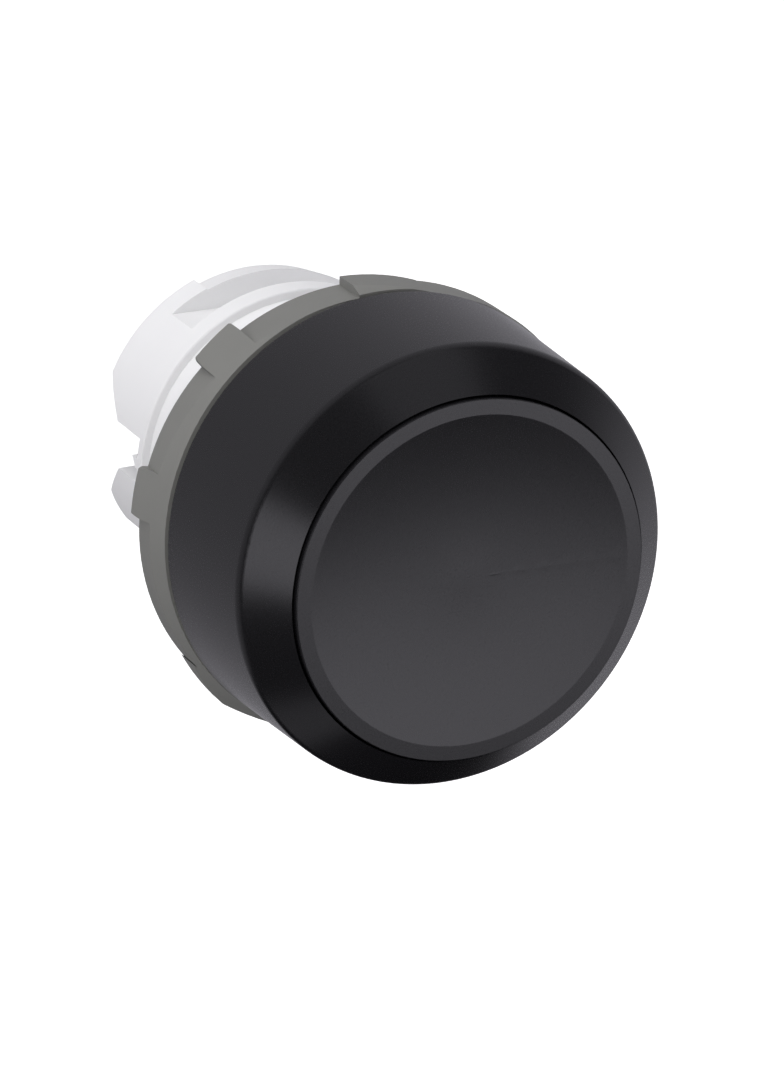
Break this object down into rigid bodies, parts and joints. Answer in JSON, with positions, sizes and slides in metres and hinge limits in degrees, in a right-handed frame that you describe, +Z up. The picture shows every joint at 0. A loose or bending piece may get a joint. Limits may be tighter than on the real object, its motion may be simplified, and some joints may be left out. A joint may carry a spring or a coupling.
{
  "type": "industrial push button",
  "caption": "Flush round push button head for a panel hole: dark chamfered bezel with a dished button, grey lugged seal, and a white bayonet spigot behind the panel.",
  "frame": {"origin": "centre of the panel hole, on the plane where the panel seal rests on the panel's front", "axes": "+Y goes through the hole, from the operator's side to the back of the panel; +Z is up"},
  "size_m": [0.0312, 0.0329, 0.0298],
  "materials": {
    "bezel_plastic": "fine matte, charcoal",
    "cap_plastic": "satin, charcoal",
    "gasket_rubber": "matte, grey",
    "body_plastic": "satin, white",
    "black_rubber": "matte, black",
    "inner_plastic": "satin, dark grey",
    "bush_brass": "turned",
    "plunger_acetal": "smooth, natural white",
    "spring_steel": "drawn wire and punched sheet",
    "zinc_steel": "zinc plated"
  },
  "bodies": {
    "housing": {"front_bezel": "bezel_plastic", "mounting_body": "body_plastic", "panel_gasket": "gasket_rubber", "bezel_seal": "black_rubber", "diaphragm_seal": "black_rubber", "diaphragm_clamp_ring": "inner_plastic", "guide_bush": "bush_brass", "spring_seat": "spring_steel", "stop_ring": "black_rubber", "return_spring": "spring_steel"},
    "button": {"button_cap": "cap_plastic", "button_carrier": "inner_plastic", "plunger": "plunger_acetal", "stop_washer": "spring_steel", "retaining_clip": "spring_steel", "pusher_foot": "inner_plastic", "screw_washer": "zinc_steel", "pusher_screw": "zinc_steel"}
  },
  "joints": [
    {"name": "press", "type": "slide", "parent": "housing", "child": "button", "axis": [0, 1, 0], "range_m": [0, 0.005], "stiffness_N_per_m": 600, "springref_m": -0.004, "deforming": ["return_spring", "diaphragm_seal"]}
  ]
}
